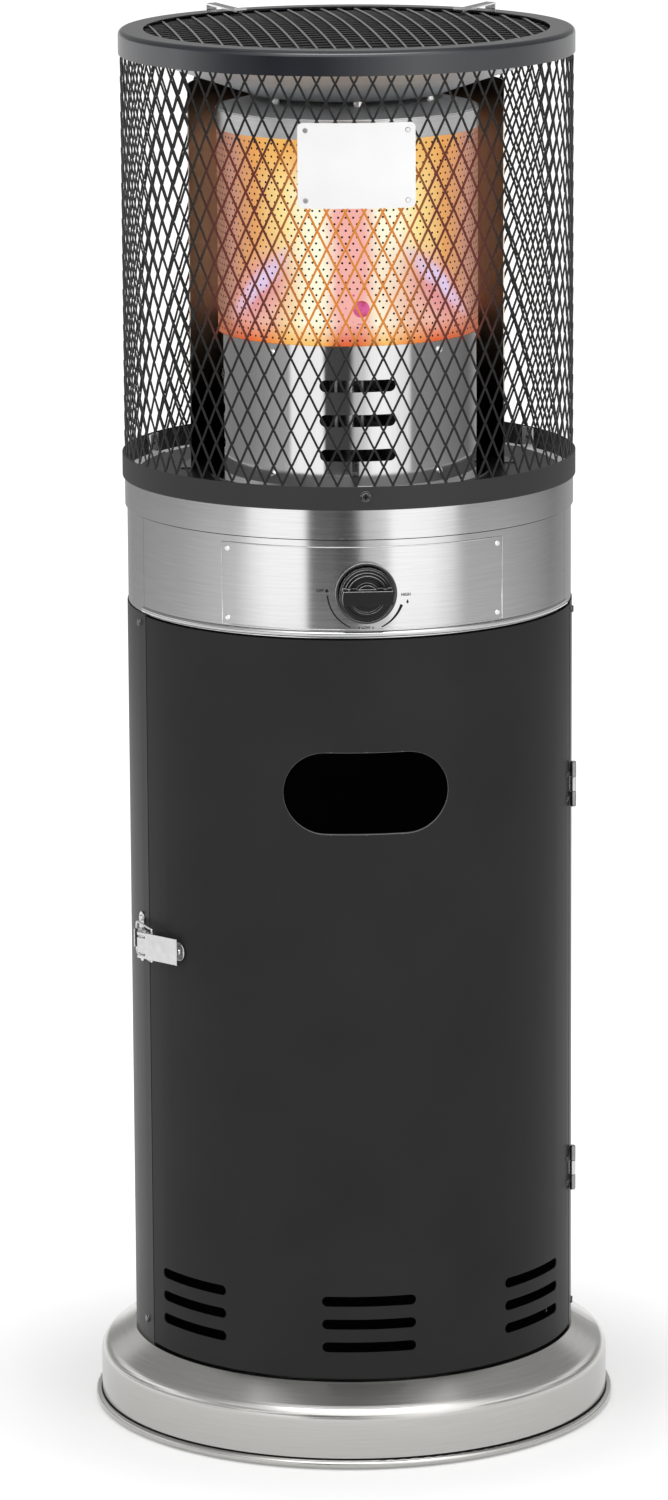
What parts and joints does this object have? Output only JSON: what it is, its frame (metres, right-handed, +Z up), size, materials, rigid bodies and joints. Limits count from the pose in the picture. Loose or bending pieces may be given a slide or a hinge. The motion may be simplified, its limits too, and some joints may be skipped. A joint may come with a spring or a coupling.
{
  "type": "gas patio heater",
  "caption": "Drum-shaped gas patio heater: hinged cylinder compartment, push-and-turn control knob and a caged radiant emitter head under a wire grille.",
  "frame": {"origin": "centre of the footprint, on the ground under the feet", "axes": "+Z up along the drum's axis, -Y towards the front with the knob and door, +X to the right seen from the front"},
  "size_m": [0.51, 0.51, 1.3559],
  "materials": {
    "black_paint": "satin powder coat",
    "black_hardware": "black oxide",
    "mesh_black": "matt heat-proof paint",
    "slate_paint": "satin heat-proof paint",
    "stainless": "brushed",
    "zinc": "zinc plated",
    "brass": "machined",
    "rubber": "moulded",
    "black_plastic": "moulded, satin",
    "white_plate": "gloss, bare",
    "hot_emitter": "perforated, glowing",
    "ceramic": "glazed"
  },
  "bodies": {
    "root": {"base_cover": "stainless", "base_pan": "zinc", "base_feet": "rubber", "cylinder_floor": "zinc", "floor_screws": "zinc", "rear_housing": "black_paint", "housing_screws": "black_hardware", "heat_shield": "zinc", "tilt_switch": "black_plastic", "control_panel_front": "stainless", "control_panel_rear": "stainless", "collar_ring": "stainless", "label_plate": "stainless", "label_rivets": "zinc", "knob_bezel": "black_plastic", "valve_body": "zinc", "valve_bracket": "zinc", "gas_inlet": "brass", "gas_pipe": "brass", "gas_injector": "brass", "burner_venturi": "zinc", "burner_head": "zinc", "igniter_electrode": "ceramic", "thermocouple": "zinc", "head_floor": "mesh_black", "burner_housing": "stainless", "burner_screws": "zinc", "emitter_screen": "hot_emitter", "emitter_collar": "stainless", "emitter_lid": "stainless", "pan_spacers": "zinc", "deflector_pan": "slate_paint", "pan_screws": "zinc", "rear_reflector": "stainless", "guard_bottom_ring": "black_paint", "guard_brackets": "zinc", "guard_screws": "zinc", "guard_mesh": "mesh_black", "guard_plate": "white_plate", "plate_eyelets": "zinc", "cap_ring": "slate_paint", "grille_rim": "mesh_black", "grille_long_wires": "mesh_black", "grille_cross_wires": "mesh_black", "grille_clips": "zinc", "hinge_leaves_housing": "zinc", "hinge_pins": "zinc", "latch_strike": "zinc", "strike_screws": "zinc"},
    "door": {"door_panel": "black_paint", "hinge_leaves_door": "zinc", "door_rivets": "black_hardware", "latch_base": "zinc", "latch_pin": "zinc"},
    "latch_lever": {"latch_lever": "zinc"},
    "latch_bail": {"latch_bail": "zinc"},
    "valve_plunger": {"valve_plunger": "brass"},
    "knob": {"knob": "black_plastic", "valve_spindle": "zinc"}
  },
  "joints": [
    {"name": "door_hinge", "type": "hinge", "parent": "root", "child": "door", "pos_m": [0.21162, -0.05276, 0.438], "axis": [0, 0, 1], "range_deg": [0, 120]},
    {"name": "latch_lever_turn", "type": "hinge", "parent": "door", "child": "latch_lever", "pos_m": [-0.20584, -0.09432, 0.482], "axis": [0, 0, -1], "range_deg": [0, 150]},
    {"name": "latch_bail_turn", "type": "hinge", "parent": "latch_lever", "child": "latch_bail", "pos_m": [-0.19912, -0.10033, 0.482], "axis": [0, 0, -1], "range_deg": [-150, 0]},
    {"name": "knob_push", "type": "slide", "parent": "root", "child": "valve_plunger", "axis": [0, 1, 0], "range_m": [0, 0.004], "stiffness_N_per_m": 900},
    {"name": "knob_turn", "type": "hinge", "parent": "valve_plunger", "child": "knob", "pos_m": [0, -0.2, 0.8443], "axis": [0, -1, 0], "range_deg": [0, 165]}
  ],
  "couplings": [
    {"joint": "latch_bail_turn", "follows": "latch_lever_turn", "ratio": -1}
  ]
}
